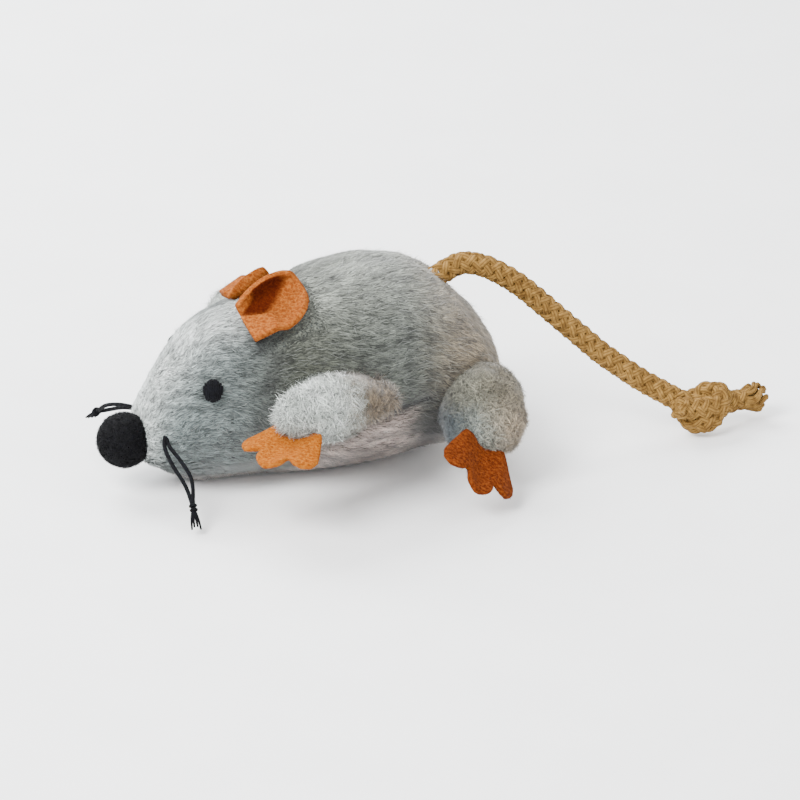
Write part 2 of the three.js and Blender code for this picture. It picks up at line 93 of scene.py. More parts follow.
class Nodes:
    """A material's node tree, with a short way to add and join nodes."""

    def __init__(self, name, roughness=0.9, sheen=0.0, metallic=0.0, specular=0.3):
        self.material = bpy.data.materials.new(name)
        self.material.use_nodes = True
        self.tree = self.material.node_tree
        self.shader = self.tree.nodes["Principled BSDF"]
        self.shader.inputs["Roughness"].default_value = roughness
        self.shader.inputs["Metallic"].default_value = metallic
        self.shader.inputs["Sheen Weight"].default_value = sheen
        self.shader.inputs["Sheen Roughness"].default_value = 0.6
        self.shader.inputs["Specular IOR Level"].default_value = specular

    def put(self, socket, value):
        if isinstance(value, bpy.types.NodeSocket):
            self.tree.links.new(value, socket)
        else:
            socket.default_value = value

    def node(self, kind, out=0, inputs=None, **settings):
        made = self.tree.nodes.new(kind)
        for key, value in settings.items():
            setattr(made, key, value)
        for key, value in (inputs or {}).items():
            self.put(made.inputs[key], value)
        return made.outputs[out]

    def math(self, operation, a, b=0.0):
        return self.node("ShaderNodeMath", operation=operation, inputs={0: a, 1: b})

    def position(self):
        return self.node("ShaderNodeTexCoord", out="Object")

    def noise(self, scale, detail=3.0, where=None, rough=0.5):
        return self.node(
            "ShaderNodeTexNoise",
            inputs={"Vector": where or self.position(), "Scale": scale, "Detail": detail, "Roughness": rough},
        )

    def ramp(self, value, *stops):
        made = self.tree.nodes.new("ShaderNodeValToRGB")
        self.put(made.inputs[0], value)
        band = made.color_ramp
        while len(band.elements) < len(stops):
            band.elements.new(0.5)
        for element, (spot, colour) in zip(band.elements, stops):
            element.position = spot
            element.color = (*colour, 1)
        return made.outputs[0]

    def mix(self, share, a, b, how="MIX"):
        made = self.tree.nodes.new("ShaderNodeMix")
        made.data_type, made.blend_type = "RGBA", how
        self.put(made.inputs["Factor"], share)
        for socket, value in (("A", a), ("B", b)):
            found = next(s for s in made.inputs if s.name == socket and s.type == "RGBA")
            self.put(found, value if isinstance(value, bpy.types.NodeSocket) else (*value, 1))
        return next(s for s in made.outputs if s.type == "RGBA")

    def colour(self, socket):
        self.put(self.shader.inputs["Base Color"], socket)

    def bump(self, height, strength, distance):
        inputs = {"Height": height, "Strength": strength, "Distance": distance}
        self.put(self.shader.inputs["Normal"], self.node("ShaderNodeBump", inputs=inputs))


def linear(red, green, blue):
    """An everyday 0-255 colour as linear light."""
    shares = (red / 255, green / 255, blue / 255)
    return tuple(((c + 0.055) / 1.055) ** 2.4 if c > 10 / 255 else c / 12.92 for c in shares)


def hair_material(name, sheen=0.25):
    """Strands carry their own colour from root to tip, and a fine noise breaks it up."""
    n = Nodes(name, roughness=0.85, sheen=sheen, specular=0.25)
    own = n.node("ShaderNodeAttribute", out="Color", attribute_name="hair")
    speck = n.ramp(n.noise(900, 2), (0.3, (0.82, 0.82, 0.82)), (0.7, (1.1, 1.1, 1.1)))
    n.colour(n.mix(1.0, own, speck, "MULTIPLY"))
    return n.material


def backing_material(name, dark, pale):
    """The knitted backing that shows between the roots."""
    n = Nodes(name, roughness=0.95)
    n.colour(n.ramp(n.noise(500, 4), (0.35, dark), (0.65, pale)))
    n.bump(n.noise(1500, 3), 0.6, 0.0002)
    return n.material


def felt_material(name, dark, middle, pale):
    """Matted wool: a soft mottle, single fibres lying every way, a pitted surface, and painted shade from the
    hollow attribute.
    """
    n = Nodes(name, roughness=0.95, specular=0.08)
    mottle = n.ramp(n.noise(1500, 5, rough=0.7), (0.32, dark), (0.5, middle), (0.7, pale))
    warp = n.node("ShaderNodeVectorMath", operation="ADD", inputs={
        0: n.position(),
        1: n.node("ShaderNodeVectorMath", operation="SCALE", inputs={
            0: n.node("ShaderNodeTexNoise", out=1, inputs={"Vector": n.position(), "Scale": 600.0}),
            "Scale": 0.0016,
        }),
    })
    fibres = n.node("ShaderNodeTexWave", out=1, wave_type="BANDS", bands_direction="DIAGONAL",
                    inputs={"Vector": warp, "Scale": 420.0, "Distortion": 9.0, "Detail": 3.0})
    fibred = n.mix(n.ramp(fibres, (0.86, (0, 0, 0)), (1.0, (0.55, 0.55, 0.55))), mottle, pale)
    # painted shade, stored on the mesh where a folded ear's hollow is
    painted_shade = n.node("ShaderNodeAttribute", out="Color", attribute_name="hollow")
    n.colour(n.mix(1.0, fibred, painted_shade, "MULTIPLY"))
    n.bump(n.noise(1300, 4, rough=0.7), 0.7, 0.00025)
    return n.material


def yarn_material(name, dark, pale, twist, pitch):
    """Spun threads lying along a strand, with painted shade between them. The thread map runs once round it,
    and along it in metres.
    """
    n = Nodes(name, roughness=0.9, specular=0.15)
    where = n.node("ShaderNodeUVMap", uv_map="thread")
    split = n.tree.nodes.new("ShaderNodeSeparateXYZ")
    n.put(split.inputs[0], where)
    turn = n.math("ADD", n.math("MULTIPLY", split.outputs[0], twist * 2 * math.pi),
                  n.math("MULTIPLY", split.outputs[1], 2 * math.pi / pitch))
    ridge = n.math("MULTIPLY_ADD", n.math("SINE", turn), 0.5)
    ridge.node.inputs[2].default_value = 0.5
    mixed = n.mix(n.ramp(n.noise(700, 4), (0.3, (0, 0, 0)), (0.7, (1, 1, 1))), dark, pale)
    # painted shade in the valleys between the spun threads
    valley_shade = n.ramp(ridge, (0.0, (0.55, 0.5, 0.45)), (0.45, (1, 1, 1)))
    n.colour(n.mix(1.0, mixed, valley_shade, "MULTIPLY"))
    n.bump(ridge, 0.8, 0.00012)
    return n.material


def plastic_material(name, dark, pale):
    n = Nodes(name, roughness=0.45, specular=0.5)
    n.colour(n.ramp(n.noise(60, 2), (0.3, dark), (0.7, pale)))
    n.bump(n.noise(2500, 2), 0.15, 0.00005)
    return n.material


def steel_material(name):
    n = Nodes(name, roughness=0.32, metallic=1.0)
    stretched = n.node("ShaderNodeMapping", inputs={"Vector": n.position(), "Scale": (1, 30, 1)})
    n.colour(n.ramp(n.noise(300, 3, stretched), (0.3, (0.42, 0.43, 0.45)), (0.7, (0.62, 0.63, 0.64))))
    n.bump(n.noise(900, 2, stretched), 0.2, 0.00003)
    return n.material


GREY_HAIR = hair_material("grey_hair")
PALE_HAIR = hair_material("pale_hair", 0.35)
WOOL_HAIR = hair_material("wool_hair", 0.0)
FELT_HAIR = hair_material("felt_hair", 0.0)
BACKING = backing_material("plush_backing", linear(74, 80, 80), linear(112, 118, 116))
PALE_BACKING = backing_material("pale_backing", linear(128, 124, 120), linear(160, 156, 152))
EAR_FELT = felt_material("ear_felt", linear(98, 44, 11), linear(128, 66, 21), linear(160, 98, 44))
ORANGE_FELT = felt_material("orange_felt", linear(108, 50, 5), linear(138, 72, 11), linear(168, 106, 38))
RUST_FELT = felt_material("rust_felt", linear(58, 20, 2), linear(86, 34, 4), linear(126, 64, 20))
COTTON = yarn_material("braided_cotton", linear(96, 68, 28), linear(148, 114, 60), 7, 0.0024)
BLACK_YARN = yarn_material("black_yarn", linear(1, 1, 3), linear(10, 11, 17), 2, 0.0016)
EYELET = plastic_material("eyelet_plastic", linear(92, 94, 92), linear(112, 114, 110))
WADDING = backing_material("wadding", linear(222, 220, 212), linear(246, 245, 240))
CASE = plastic_material("case_plastic", linear(40, 100, 165), linear(56, 118, 184))
GEARS = plastic_material("gear_plastic", linear(228, 220, 198), linear(240, 234, 216))
STEEL = steel_material("plain_steel")
CORD_WEAVE = backing_material("cord_weave", linear(172, 132, 78), linear(208, 172, 118))


# ---- mesh helpers

def smooth_line(points, count):
    """Evenly spaced points on a smooth curve through the given ones."""
    p = np.asarray(points, float)
    p = np.vstack([2 * p[0] - p[1], p, 2 * p[-1] - p[-2]])
    fine = []
    for a, b, c, d in zip(p, p[1:], p[2:], p[3:]):
        t = np.linspace(0, 1, 24, endpoint=False)[:, None]
        fine.append(0.5 * (2 * b + (c - a) * t + (2 * a - 5 * b + 4 * c - d) * t**2
                           + (3 * b - a - 3 * c + d) * t**3))
    fine = np.vstack([*fine, p[-2][None]])
    run = run_along(fine)
    at = np.linspace(0, run[-1], count)
    return np.column_stack([np.interp(at, run, fine[:, i]) for i in range(3)])


def run_along(line):
    """How far along the line each of its points is."""
    return np.concatenate([[0], np.cumsum(np.linalg.norm(np.diff(line, axis=0), axis=1))])


def unit(v):
    return v / np.maximum(np.linalg.norm(v, axis=-1, keepdims=True), 1e-12)


def side_vectors(line):
    """Two vectors square to the line at each point, carried along it without twist."""
    along = unit(np.gradient(line, axis=0))
    first = np.cross(along[0], [0, 0, 1])
    if np.linalg.norm(first) < 0.1:
        first = np.cross(along[0], [0, 1, 0])
    sides = [unit(first)]
    for t in along[1:]:
        sides.append(unit(sides[-1] - t * np.dot(sides[-1], t)))
    sides = np.array(sides)
    return sides, np.cross(along, sides)


class Piece:
    """Gathers the tubes of one Blender piece, with a thread map for its yarn."""

    def __init__(self):
        self.verts, self.faces, self.maps, self.count = [], [], [], 0

    def tube(self, line, radius, sides=8):
        """A round tube with closed ends. radius is one number or one for each point."""
        radius = np.broadcast_to(radius, len(line))
        a, b = side_vectors(line)
        angle = np.arange(sides) / sides * 2 * math.pi
        rings = line[:, None] + radius[:, None, None] * (
            np.cos(angle)[None, :, None] * a[:, None] + np.sin(angle)[None, :, None] * b[:, None])
        run = run_along(line)
        faces, maps = [], []
        for i in range(len(line) - 1):
            for j in range(sides):
                k = (j + 1) % sides
                faces.append((i * sides + j, i * sides + k, (i + 1) * sides + k, (i + 1) * sides + j))
                maps += [(j / sides, run[i]), ((j + 1) / sides, run[i]),
                         ((j + 1) / sides, run[i + 1]), (j / sides, run[i + 1])]
        last = (len(line) - 1) * sides
        faces.append(tuple(range(sides))[::-1])
        faces.append(tuple(range(last, last + sides)))
        maps += [(0.0, run[0])] * sides + [(0.0, run[-1])] * sides
        self.verts.append(rings.reshape(-1, 3))
        self.faces += [tuple(i + self.count for i in face) for face in faces]
        self.maps += maps
        self.count += len(line) * sides

    def object(self, name, material, body, slot):
        mesh = bpy.data.meshes.new(name)
        mesh.from_pydata(np.vstack(self.verts).tolist(), [], self.faces)
        mesh.uv_layers.new(name="thread").data.foreach_set("uv", np.array(self.maps, "f").ravel())
        return place(name, mesh, material, body)


def place(name, mesh, material, body):
    """A mesh as a piece with its material, riding on a body if one is given."""
    mesh.materials.clear()
    mesh.materials.append(material)
    mesh.polygons.foreach_set("use_smooth", [True] * len(mesh.polygons))
    made = bpy.data.objects.new(name, mesh)
    bpy.context.collection.objects.link(made)
    if body:
        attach(made, body)
    return made


def with_modifier(mesh, kind, **settings):
    """A mesh as one modifier leaves it."""
    holder = bpy.data.objects.new("holder", mesh)
    bpy.context.collection.objects.link(holder)
    modifier = holder.modifiers.new(kind, kind)
    for key, value in settings.items():
        setattr(modifier, key, value)
    bpy.context.view_layer.update()
    depsgraph = bpy.context.evaluated_depsgraph_get()
    result = bpy.data.meshes.new_from_object(holder.evaluated_get(depsgraph))
    bpy.data.objects.remove(holder)
    return result


def vertices(mesh, what="co"):
    out = np.empty(len(mesh.vertices) * 3, np.float32)
    mesh.vertices.foreach_get(what, out)
    return out.reshape(-1, 3).astype(float)


def normals(mesh):
    return vertices(mesh, "normal")


def move_to(mesh, points):
    mesh.vertices.foreach_set("co", np.asarray(points, np.float32).ravel())
    mesh.update()


# ---- stuffed bags

BAG_INSET = 0.5 * MM  # the backing lies this far inside the CAD surface, under its pile
CLOTH_SCALE = 10  # cloth settings suit objects of a metre, so a bag is simulated at ten times its size


def bag_mesh(nodes, voxel):
    """An even quad mesh round some CAD nodes, from their hull, lying a little inside them."""
    hull = bmesh.new()
    for node in nodes:
        for p in vertices(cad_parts[node].data):
            hull.verts.new(p)
    made = bmesh.ops.convex_hull(hull, input=hull.verts)
    loose = {v for v in made["geom_interior"] + made["geom_unused"] if isinstance(v, bmesh.types.BMVert)}
    bmesh.ops.delete(hull, geom=list(loose), context="VERTS")
    mesh = bpy.data.meshes.new("hull")
    hull.to_mesh(mesh)
    hull.free()
    mesh = with_modifier(mesh, "REMESH", mode="VOXEL", voxel_size=voxel, use_smooth_shade=True)
    mesh = with_modifier(mesh, "SMOOTH", factor=0.5, iterations=4)
    move_to(mesh, vertices(mesh) - normals(mesh) * BAG_INSET)
    return mesh


def inflate(mesh, held, pressure, most, frames=14):
    """Blows the bag up as cloth that is sewn down where held is 1. No point moves further than most."""
    rest = vertices(mesh)
    copy = mesh.copy()
    move_to(copy, rest * CLOTH_SCALE)
    bag = bpy.data.objects.new("bag", copy)
    bpy.context.collection.objects.link(bag)
    group = bag.vertex_groups.new(name="sewn")
    for i, share in enumerate(held):
        if share > 0.02:
            group.add([i], float(min(share, 1)), "REPLACE")
    cloth = bag.modifiers.new("cloth", "CLOTH")
    cloth.settings.use_pressure = True
    cloth.settings.uniform_pressure_force = pressure
    cloth.settings.vertex_group_mass = "sewn"
    cloth.settings.quality = 4
    cloth.settings.effector_weights.gravity = 0
    cloth.point_cache.frame_start, cloth.point_cache.frame_end = 1, frames
    for moment in range(1, frames + 1):
        bpy.context.scene.frame_set(moment)
    depsgraph = bpy.context.evaluated_depsgraph_get()
    blown = bag.evaluated_get(depsgraph).to_mesh()
    shift = vertices(blown) / CLOTH_SCALE - rest
    bag.evaluated_get(depsgraph).to_mesh_clear()
    bpy.data.objects.remove(bag)
    bpy.context.scene.frame_set(1)
    size = np.linalg.norm(shift, axis=1, keepdims=True)
    move_to(mesh, rest + shift * np.minimum(1, most / np.maximum(size, 1e-9)))


# ---- pile

TABLE_CLEARANCE, ROOT_DEPTH = 0.05 * MM, 0.3 * MM
TRACE = 1e-9  # so that no choice of triangles ever has a sum of nothing


def bell(distance, width):
    """1 in the middle, falling away smoothly to nothing."""
    return np.exp(-((distance / width) ** 2))


def step(value, low, high):
    """0 below low, 1 above high, and a smooth rise between."""
    t = np.clip((value - low) / (high - low), 0, 1)
    return t * t * (3 - 2 * t)


def scatter(mesh, count, where=None):
    """Random points on a mesh, evenly by area, with the normal at each. where picks out a part of it."""
    mesh.calc_loop_triangles()
    tri = np.empty(len(mesh.loop_triangles) * 3, np.int32)
    mesh.loop_triangles.foreach_get("vertices", tri)
    tri = tri.reshape(-1, 3)
    co, no = vertices(mesh), normals(mesh)
    a, b, c = (co[tri[:, i]] for i in range(3))
    area = np.linalg.norm(np.cross(b - a, c - a), axis=1)
    if where is not None:
        area = area * (where((a + b + c) / 3) + TRACE)
    pick = rng.choice(len(tri), count, p=area / area.sum())
    u, v = rng.random(count), rng.random(count)
    u, v = np.where(u + v > 1, 1 - u, u), np.where(u + v > 1, 1 - v, v)
    w = np.column_stack([1 - u - v, u, v])[:, :, None]
    points = (co[tri[pick]] * w).sum(1)
    return points, unit((no[tri[pick]] * w).sum(1))


def clumped(points, tips, size, pull):
    """Tips drawn together, so that neighbouring strands stand in locks of about this size."""
    count = max(int(len(points) / size), 1)
    middle = rng.choice(len(points), count, replace=False)
    tree = KDTree(count)
    for i, m in enumerate(middle):
        tree.insert(points[m], i)
    tree.balance()
    near = np.array([middle[tree.find(p)[1]] for p in points])
    return tips + (tips[near] - tips) * pull * rng.uniform(0.4, 1, len(points))[:, None]


def blade_mesh(name, verts):
    """A mesh of blades, each with five points: two at its root, two in its middle and its tip."""
    count = len(verts)
    base = np.arange(count)[:, None] * 5
    quads = base + [0, 1, 3, 2]
    ends = base + [2, 3, 4]
    starts = np.arange(count)[:, None] * 7 + [0, 4]
    mesh = bpy.data.meshes.new(name)
    mesh.vertices.add(count * 5)
    mesh.vertices.foreach_set("co", verts.astype(np.float32).ravel())
    mesh.loops.add(count * 7)
    mesh.loops.foreach_set("vertex_index", np.concatenate([quads, ends], 1).astype(np.int32).ravel())
    mesh.polygons.add(count * 2)
    mesh.polygons.foreach_set("loop_start", starts.astype(np.int32).ravel())
    mesh.update(calc_edges=True)
    mesh.validate()
    return mesh


def pile(name, points, out, comb, length, lift, width, colours, material, body,
         lock=9, pull=0.45, stray=0.25):
    """Pile as real strands, each a thin blade that rises from its root, bends over along comb
    and ends in a point. colours is the root and tip colour of each strand."""
    count = len(points)
    lay = unit(comb - out * (comb * out).sum(1, keepdims=True) + rng.normal(0, stray, (count, 3)))
    lay = unit(lay - out * (lay * out).sum(1, keepdims=True))
    reach = (length * rng.uniform(0.7, 1.15, count))[:, None]
    rise = np.broadcast_to(lift, count)[:, None] * rng.uniform(0.7, 1.3, (count, 1))
    middle = points + reach * (0.30 * lay + (0.30 * rise + 0.12) * out)
    tip = points + reach * (0.86 * lay + 0.55 * rise * out)
    tip = clumped(points, tip, lock, pull)
    root = points - out * ROOT_DEPTH
    across = unit(np.cross(lay, out)) * (width * rng.uniform(0.7, 1.3, count))[:, None] / 2
    verts = np.stack([root - across, root + across, middle - across * 0.85, middle + across * 0.85, tip], 1)
    verts[..., 2] = np.maximum(verts[..., 2], TABLE_CLEARANCE)  # pile under the belly is pressed flat
    mesh = blade_mesh(name, verts)
    dark, pale = colours
    middle_colour = dark * 0.4 + pale * 0.6
    tone = np.stack([dark, dark, middle_colour, middle_colour, pale], 1)
    shown = np.concatenate([tone, np.ones((count, 5, 1))], 2).astype(np.float32)
    mesh.color_attributes.new("hair", "FLOAT_COLOR", "POINT").data.foreach_set("color", shown.ravel())
    made = place(name, mesh, material, body)
    soft = unit(np.repeat(out, 5, 0) + 0.35 * np.repeat(lay, 5, 0))
    mesh.normals_split_custom_set_from_vertices(soft.tolist())
    return made


def tones(points, base, spread, dark=0.42, pale=1.12):
    """Root and tip colours of strands from a base colour for each, with their own variation."""
    under = np.where(rng.random((len(points), 1)) < 0.3, 1 - 1.6 * spread, 1 + 0.45 * spread)
    own = base * under * rng.normal(1, 0.6 * spread, (len(points), 1)).clip(0.4, 1.6)
    return own * dark, (own * pale).clip(0, 0.95)


def evenly(colour, count):
    """The same colour for every strand."""
    return np.repeat(np.array(colour)[None], count, 0)


def blend_colours(start, *layers):
    """Colours laid over a start colour, each by its own share."""
    shown = start
    for share, colour in layers:
        shown = shown + (np.array(colour) - shown) * share[:, None]
    return shown


# ---- tail

TAIL_EXIT = mm(34.1, 0, 40.5)
ROPE_RADIUS = 2.5 * MM
ROPE_ROUTE = [mm(*p) for p in (
    (36.4, 0, 41.6), (40.2, 0, 42.8), (44.7, -0.5, 41.8), (49.2, -1.0, 39.2), (53.6, -1.6, 35.8),
    (58.0, -2.4, 31.6), (62.4, -3.4, 27.3), (66.7, -4.5, 23.1), (70.9, -5.7, 19.1), (75.2, -7.0, 15.7),
    (79.4, -8.3, 12.5), (83.7, -9.6, 9.8), (87.4, -10.8, 7.6),
)]
KNOT_CENTRE = mm(93.2, -12.5, 5.6)
ROPE_END = mm(108.4, -8.6, 4.3)


PLY_OUT, PLY_SWAY, PLY = 0.63, 0.10, 0.365  # where a ply runs and how thick it is, against the braid's radius


def braid(piece, line, radius, plies=4, pitch=11.2 * MM, sides=8):
    """A round braid: this many plies wind each way and pass over and under one another."""
    a, b = side_vectors(line)
    run = run_along(line)
    turn = run / pitch * 2 * math.pi
    for way in (1, -1):
        for n in range(plies):
            angle = way * turn + 2 * math.pi * n / plies
            out = radius * (PLY_OUT + way * PLY_SWAY * np.cos(plies * turn))
            path = line + out[:, None] * (np.cos(angle)[:, None] * a + np.sin(angle)[:, None] * b)
            piece.tube(path, PLY * radius, sides)


def braided_rope(line, radius, core):
    """A piece that holds a braid and the core it hides."""
    made = Piece()
    braid(made, line, radius)
    made.tube(line, core, 10)
    return made


rope_root = TAIL_EXIT - mm(1.5, 0, 0.9)
into_knot = KNOT_CENTRE - mm(3.6, -0.8, -1.2)
rope_line = smooth_line([rope_root, *ROPE_ROUTE, into_knot], 300)
tail_rope = braided_rope(rope_line, ROPE_RADIUS, 1.65 * MM).object("braided_tail", COTTON, "tail", "cotton")
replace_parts(tail_rope, "tail_rope")

# The overhand knot's turns, in its own directions: along the rope, up, and towards the far side
tail_way = unit(ROPE_END - KNOT_CENTRE)
knot_up = unit(np.array([0, 0, 1.0]) - tail_way * tail_way[2])
knot_out = -np.cross(tail_way, knot_up)
KNOT_TURNS = [
    (-8.0, 1.6, -0.6), (-5.0, 0.9, -0.6), (-1.4, 0.6, -1.6), (2.4, 1.4, -2.0), (3.9, 2.9, 0.2),
    (1.6, 2.9, 2.6), (-1.6, 0.9, 3.1), (-3.8, -1.6, 1.6), (-2.9, -3.1, -1.0), (0.4, -2.6, -2.2),
    (2.9, -1.0, -0.6), (5.4, 0.0, 0.6), (8.0, 0.3, 0.6),
]
KNOT_HEIGHT, KNOT_DEPTH = 0.9, 0.8  # how tight it is drawn
knot_line = smooth_line([
    KNOT_CENTRE + MM * (x * tail_way + KNOT_HEIGHT * y * knot_up + KNOT_DEPTH * z * knot_out)
    for x, y, z in KNOT_TURNS
], 260)
tail_knot = braided_rope(knot_line, 2.45 * MM, 1.7 * MM).object("tail_knot_turns", COTTON, "tail", "cotton")
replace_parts(tail_knot, "tail_knot")

# The frayed stub: a short end of braid whose yarns open out and curl in again
YARNS, YARN_POINTS, GOLDEN_ANGLE = 30, 22, 2.39996
stub_start = knot_line[-1] - tail_way * 2.5 * MM
stub_reach = np.linalg.norm(ROPE_END - stub_start)
stub_line = smooth_line([stub_start + tail_way * stub_reach * share for share in (0, 0.34, 0.62)], 60)
stub = braided_rope(stub_line, 2.3 * MM, 1.4 * MM)
for n in range(YARNS):
    angle = n * GOLDEN_ANGLE
    inner = n % 3 == 0
    side = math.cos(angle) * knot_up + math.sin(angle) * knot_out
    swirl = math.cos(angle + 0.7) * knot_up + math.sin(angle + 0.7) * knot_out
    wide = (1.2 if inner else rng.uniform(2.6, 3.3)) * MM
    reach = stub_reach * rng.uniform(0.9, 1.0)
    line = [stub_start + tail_way * stub_reach * 0.42 + side * (0.8 if inner else 1.55) * MM,
            stub_start + tail_way * stub_reach * 0.66 + side * wide * 0.86,
            stub_start + tail_way * reach * 0.9 + swirl * wide,
            stub_start + tail_way * reach + swirl * wide * rng.uniform(0.45, 0.8)]
    stub.tube(smooth_line(line, YARN_POINTS), np.linspace(0.5, 0.4, YARN_POINTS) * MM, 7)
tail_stub = stub.object("frayed_stub", COTTON, "tail", "cotton")
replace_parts(tail_stub, "tail_end")

# The thin pull cord, hidden at rest, that follows the tail out of the eyelet
PULL_WAY = unit(mm(0.9, 0, 0.436))
cord_from = Vector(ROPE_ROUTE[0] - PULL_WAY * 15 * MM)
cord_to = Vector(ROPE_ROUTE[0] + PULL_WAY * 1 * MM)
cord_line = np.linspace(np.array(cord_from), np.array(cord_to), 60)
cord = Piece()
braid(cord, cord_line, 0.5 * MM, plies=3, pitch=3 * MM, sides=6)
pull = cord.object("pull_cord_braid", COTTON, None, "cotton")
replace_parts(pull, "pull_cord")
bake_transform(pull)


# ---- sewn body

BELLY_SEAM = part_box("belly_gusset")[1].z
SEAM_Y = -1.6 * MM  # the back seam follows the head as it turns left
NECK_X, CREASE_LOW, CREASE_SLOPE = -9.5, 15.0, 0.32
FLANK_HOLLOW = mm(27.5, 0, 10.5)
RUMP_SWELL = mm(46, 0, 25)
EAR_SHADOW = mm(-11.6, 0, 34.2)


def from_side(p, centre, stretch=1.0):
    """How far a point is from a centre as seen from the side, in a round that is stretched upwards."""
    return np.linalg.norm((p * [1, 0, 1] - centre) / [1, 1, stretch], axis=1)


def back_seam(p):
    """How far a point is from the seam along the back, which ends well above the table."""
    seam = SEAM_Y * step(-p[:, 0], 5 * MM, 34 * MM)
    return np.abs(p[:, 1] - seam) + np.where(p[:, 2] < 18 * MM, 1.0, 0.0)


def neck(p):
    """The soft fold behind the head, deepest on the sides; it is also painted with shade."""
    x, y, z = p[:, 0] / MM, np.abs(p[:, 1]) / MM, p[:, 2] / MM
    return bell(x - NECK_X - 0.25 * (z - 26), 3.4) * step(y, 5, 14) * step(z, 8, 20)


def crease_height(x):
    return CREASE_LOW + CREASE_SLOPE * (x - 7)


def leg_crease(p):
    """The fold under each front leg that rises towards the tail; it is also painted with shade."""
    x, z = p[:, 0] / MM, p[:, 2] / MM
    return bell(z - crease_height(x), 1.5) * step(x, 3, 9) * step(-x, -30, -24)


def flank_hollow(p):
    """The hollow between the belly and each hind leg, which is also painted with shade."""
    return bell(from_side(p, FLANK_HOLLOW, 1.5), 5.4 * MM)


def waves(p, finest, coarsest, count, stretch=1.0):
    """An even random pattern of about -1 to 1 with features between two sizes in millimetres."""
    draw = np.random.default_rng(count * 1000 + int(finest * 10))
    total = np.zeros(len(p))
    for _ in range(count):
        way = unit(draw.normal(0, 1, 3)) / draw.uniform(finest, coarsest) * 2 * math.pi
        total += np.sin((p / MM) @ (way * [1 / stretch, 1, 1]) + draw.uniform(0, 2 * math.pi))
    return total / math.sqrt(count / 2) / 1.6


def stuffed_body():
    """The body bag, blown up between its seams, with its folds drawn in and its full parts raised."""
    mesh = bag_mesh(["left_side_panel", "right_side_panel", "belly_gusset"], 1.25 * MM)
    p = vertices(mesh)
    sewn = np.maximum(bell(back_seam(p), 1.2 * MM), bell(p[:, 2] - BELLY_SEAM, 1.2 * MM))
    sewn = np.maximum(sewn, step(-p[:, 2], -1.5 * MM, -0.2 * MM))
    inflate(mesh, sewn, 3.0, 0.7 * MM)
    p, n = vertices(mesh), normals(mesh)
    seams = 0.55 * bell(back_seam(p), 0.9 * MM) + 0.4 * bell(p[:, 2] - BELLY_SEAM, 0.9 * MM)
    folds = 1.1 * neck(p) + 1.3 * leg_crease(p) + 1.6 * flank_hollow(p)
    crown = 1.7 * bell(p[:, 0] - 16 * MM, 20 * MM) * step(n[:, 2], 0.3, 0.95)
    rump = 2.0 * bell(from_side(p, RUMP_SWELL, 1.2), 9 * MM)
    forehead = 0.9 * bell(p[:, 0] + 21 * MM, 7 * MM) * step(p[:, 2], 26 * MM, 34 * MM)
    groove = seams + folds - crown - rump - forehead + 0.28 * waves(p, 9, 16, 14)
    p = p - n * groove[:, None] * MM
    under_chin = step(10 - p[:, 2] / MM, 0, 8) * step(-p[:, 0] / MM, -8, 10)
    p[:, 1] *= 1 - 0.22 * under_chin
    move_to(mesh, p)
    return with_modifier(mesh, "SUBSURF", levels=1, render_levels=1)


body_mesh = stuffed_body()
plush = place("plush_backing", body_mesh, BACKING, "mouse")
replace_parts(plush, "left_side_panel", "right_side_panel", "belly_gusset")

# Among these, the pale third colour is painted light from above, HALO is the near-white of the painted rim
# light, also mixed into the guard hairs, and SHADOW is painted shade.
HEAD_GREY, FLANK, TOP_LIGHT = linear(94, 103, 102), linear(72, 75, 67), linear(146, 150, 140)
OLIVE, RUMP, BELLY = linear(68, 70, 58), linear(134, 117, 92), linear(170, 154, 146)
MUZZLE, HALO, SHADOW = linear(188, 194, 190), linear(216, 222, 218), linear(26, 26, 30)


def body_colour(p, n):
    """The plush's colour at each point: pale muzzle, greyer flanks, beige rump and pale belly, with painted
    light on upward faces and along the forehead's rim, and painted shade in the folds, the flank hollows and
    under the ears.
    """
    x, z = p[:, 0] / MM, p[:, 2] / MM
    # painted rim light: near-white along the forehead where the faces turn up and forward
    painted_rim_light = bell(p[:, 1] - SEAM_Y, 6 * MM) * step(n @ unit(np.array([-0.72, 0.0, 0.70])), 0.3, 0.75)
    under_crease = step(crease_height(x) - z, -0.4, 1.6) * step(x, -4, 5) * step(-x, -25, -17)
    return blend_colours(
        evenly(HEAD_GREY, len(p)),
        (step(x, -20, 2) * 0.85, FLANK),
        (bell(x + 3, 10) * step(np.abs(p[:, 1]) / MM, 8, 15) * 0.75, OLIVE),
        # painted light on the faces turned upwards, from the shoulders back
        (step(n[:, 2], 0.35, 0.95) * step(x, -8, 6) * 0.6, TOP_LIGHT),
        (step(x, 20, 38) * 0.8, RUMP),
        # painted rim light on the forehead
        (painted_rim_light * step(-x, 4, 12) * 0.8, HALO),
        (step(-x, 31, 37) * 0.6, MUZZLE),
        (under_crease * 0.9, BELLY),
        (step(3 + 8 * step(x, -8, 6) - z, -1.5, 2) * 0.85, BELLY),
        # painted shade in the crease under each front leg, the neck fold, the hollow by each hind leg and under
        # each ear
        (leg_crease(p) * 0.8, SHADOW),
        (neck(p) * 0.4, SHADOW),
        (flank_hollow(p) * 0.95, SHADOW),
        (bell(from_side(p, EAR_SHADOW), 2.0 * MM) * 0.7, SHADOW),
    )


def body_comb(p):
    """The pile is combed back from the nose and a little down the flanks."""
    x = p[:, 0] / MM
    flow = np.zeros_like(p)
    flow[:, 0] = 1.0
    flow[:, 1] = 0.25 * np.sign(p[:, 1]) * step(-x, 20, 34)
    flow[:, 2] = -0.16 - 0.5 * step(x, 26, 42) + 0.25 * step(-x, 12, 26)
    sway = np.column_stack([
        np.sin(p[:, 1] * 420 + p[:, 2] * 260),
        np.sin(p[:, 2] * 380 + p[:, 0] * 170),
        np.sin(p[:, 0] * 300 + p[:, 1] * 210),
    ])
    return flow + 0.26 * sway


